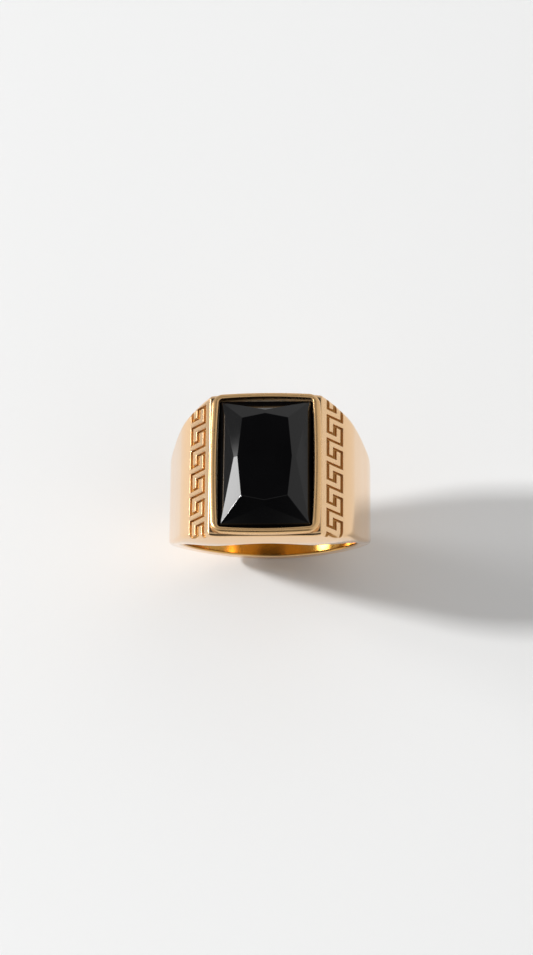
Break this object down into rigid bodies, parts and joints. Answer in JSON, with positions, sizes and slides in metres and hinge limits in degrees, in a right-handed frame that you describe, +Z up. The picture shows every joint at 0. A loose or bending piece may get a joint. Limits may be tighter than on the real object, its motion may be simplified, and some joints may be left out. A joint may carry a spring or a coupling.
{
  "type": "signet ring",
  "caption": "Finger ring with a tapering band, stepped rectangular bezel, faceted black cushion-cut stone and an engraved Greek-key strip on each sloping shoulder.",
  "frame": {"origin": "centre of the finger hole", "axes": "+Y along the finger hole, +Z up through the middle of the stone, +X across the ring"},
  "size_m": [0.0228, 0.0168, 0.0263],
  "materials": {
    "gold_metal": "polished pale gold plate",
    "clear_adhesive": "cured clear epoxy",
    "black_stone": "polished opaque black facets"
  },
  "bodies": {
    "root": {"band": "gold_metal", "bezel_frame": "gold_metal", "bearer": "gold_metal", "adhesive_bead": "clear_adhesive", "stone": "black_stone"}
  },
  "joints": []
}
